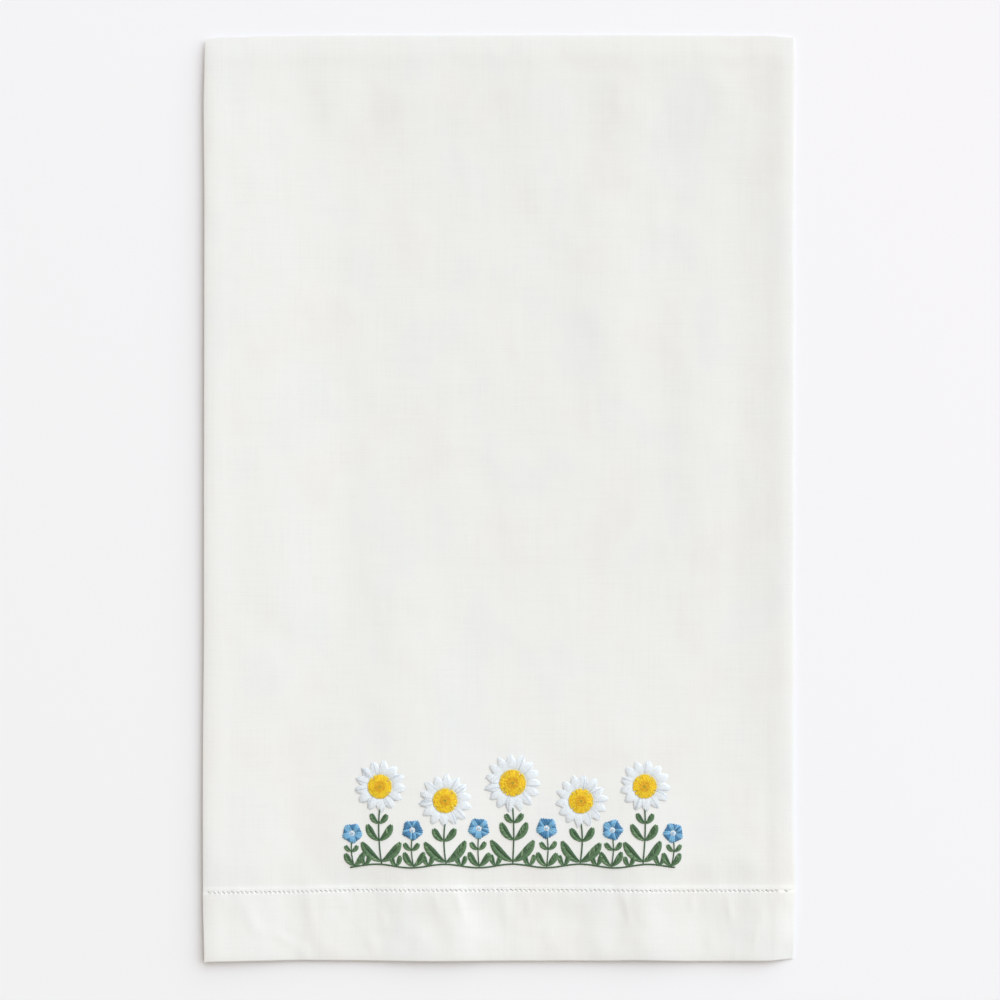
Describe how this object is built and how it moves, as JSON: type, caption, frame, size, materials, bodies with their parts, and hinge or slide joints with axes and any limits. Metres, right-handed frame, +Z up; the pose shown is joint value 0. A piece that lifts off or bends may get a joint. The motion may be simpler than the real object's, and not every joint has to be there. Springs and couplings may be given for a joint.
{
  "type": "hand towel",
  "caption": "Flat linen hand towel with narrow side and top hems and a deep hemstitched foot hem, lying face up for use beside a basin or as table linen.",
  "frame": {"origin": "middle of the underside, on the surface that the towel lies on", "axes": "+X across the towel to the right as it is looked at, +Y along it from the deep hem to the top, +Z up out of its face"},
  "size_m": [0.3576, 0.5598, 0.0053],
  "materials": {
    "linen": "off-white plain-weave linen, matt, with fine slubs",
    "thread": "six-strand cotton embroidery thread with a soft sheen, in white, yellow, blue and green"
  },
  "bodies": {
    "root": {"towel": "linen"}
  },
  "joints": []
}
